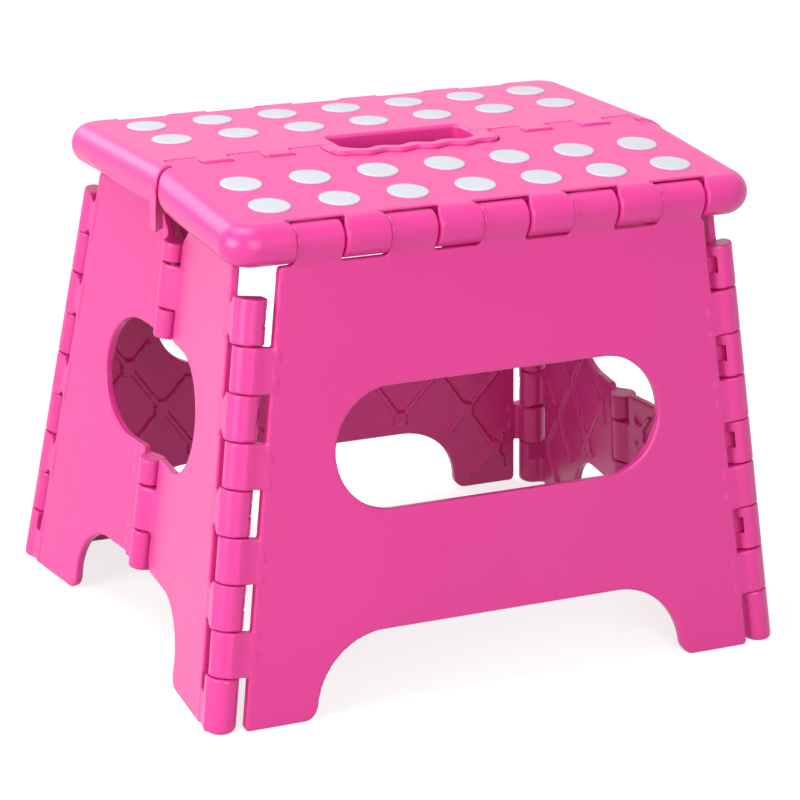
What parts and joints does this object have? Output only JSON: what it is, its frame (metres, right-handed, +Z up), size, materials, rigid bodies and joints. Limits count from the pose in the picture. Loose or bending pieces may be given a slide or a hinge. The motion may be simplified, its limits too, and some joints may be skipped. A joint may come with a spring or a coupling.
{
  "type": "folding step stool",
  "caption": "Low folding step stool with a two-leaf dotted top, hinged leg panels, folding ends and a hand hole.",
  "frame": {"origin": "on the floor under the middle of the open stool", "axes": "+X along the stool, -Y to the front leg panel, +Z up"},
  "size_m": [0.2896, 0.237, 0.2279],
  "materials": {
    "panel": "satin",
    "dot": "matte",
    "pin": "brushed"
  },
  "bodies": {
    "leg_front": {"leg_front": "panel", "corner_pin_front_left": "pin", "corner_pin_front_right": "pin"},
    "top_front": {"top_front": "panel", "edge_pin_front": "pin", "ridge_pin_left": "pin", "ridge_pin_right": "pin", "dot_front_1": "dot", "dot_front_10": "dot", "dot_front_11": "dot", "dot_front_12": "dot", "dot_front_13": "dot", "dot_front_14": "dot", "dot_front_2": "dot", "dot_front_3": "dot", "dot_front_4": "dot", "dot_front_5": "dot", "dot_front_6": "dot", "dot_front_7": "dot", "dot_front_8": "dot", "dot_front_9": "dot"},
    "top_rear": {"top_rear": "panel", "edge_pin_rear": "pin", "dot_rear_1": "dot", "dot_rear_10": "dot", "dot_rear_11": "dot", "dot_rear_12": "dot", "dot_rear_13": "dot", "dot_rear_14": "dot", "dot_rear_2": "dot", "dot_rear_3": "dot", "dot_rear_4": "dot", "dot_rear_5": "dot", "dot_rear_6": "dot", "dot_rear_7": "dot", "dot_rear_8": "dot", "dot_rear_9": "dot"},
    "leg_rear": {"leg_rear": "panel", "corner_pin_rear_left": "pin", "corner_pin_rear_right": "pin"},
    "end_front_left": {"end_front_left": "panel"},
    "end_front_right": {"end_front_right": "panel"},
    "end_rear_left": {"end_rear_left": "panel", "centre_pin_lower_left": "pin", "centre_pin_upper_left": "pin"},
    "end_rear_right": {"end_rear_right": "panel", "centre_pin_lower_right": "pin", "centre_pin_upper_right": "pin"}
  },
  "joints": [
    {"name": "front_edge_fold", "type": "hinge", "parent": "leg_front", "child": "top_front", "pos_m": [0, -0.08884, 0.21314], "axis": [1, 0, 0], "range_deg": [0, 72.9]},
    {"name": "ridge_fold", "type": "hinge", "parent": "top_front", "child": "top_rear", "pos_m": [0, 0, 0.20857], "axis": [-1, 0, 0], "range_deg": [0, 156]},
    {"name": "rear_edge_fold", "type": "hinge", "parent": "top_rear", "child": "leg_rear", "pos_m": [0, 0.08884, 0.21314], "axis": [1, 0, 0], "range_deg": [0, 72.9]},
    {"name": "front_left_corner_fold", "type": "hinge", "parent": "leg_front", "child": "end_front_left", "pos_m": [-0.1379, -0.1115, 0], "axis": [-0.1129, -0.1216, -0.9861], "range_deg": [0, 75.3]},
    {"name": "front_right_corner_fold", "type": "hinge", "parent": "leg_front", "child": "end_front_right", "pos_m": [0.1379, -0.1115, 0], "axis": [-0.1129, 0.1216, 0.9861], "range_deg": [0, 75.3]},
    {"name": "rear_left_corner_fold", "type": "hinge", "parent": "leg_rear", "child": "end_rear_left", "pos_m": [-0.1379, 0.1115, 0], "axis": [0.1129, -0.1216, 0.9861], "range_deg": [0, 75.3]},
    {"name": "rear_right_corner_fold", "type": "hinge", "parent": "leg_rear", "child": "end_rear_right", "pos_m": [0.1379, 0.1115, 0], "axis": [0.1129, 0.1216, -0.9861], "range_deg": [0, 75.3]}
  ],
  "couplings": [
    {"joint": "front_edge_fold", "follows": "ridge_fold", "ratio": 0.467},
    {"joint": "rear_edge_fold", "follows": "ridge_fold", "ratio": 0.467},
    {"joint": "front_left_corner_fold", "follows": "ridge_fold", "ratio": 0.4825},
    {"joint": "front_right_corner_fold", "follows": "ridge_fold", "ratio": 0.4825},
    {"joint": "rear_left_corner_fold", "follows": "ridge_fold", "ratio": 0.4825},
    {"joint": "rear_right_corner_fold", "follows": "ridge_fold", "ratio": 0.4825}
  ]
}
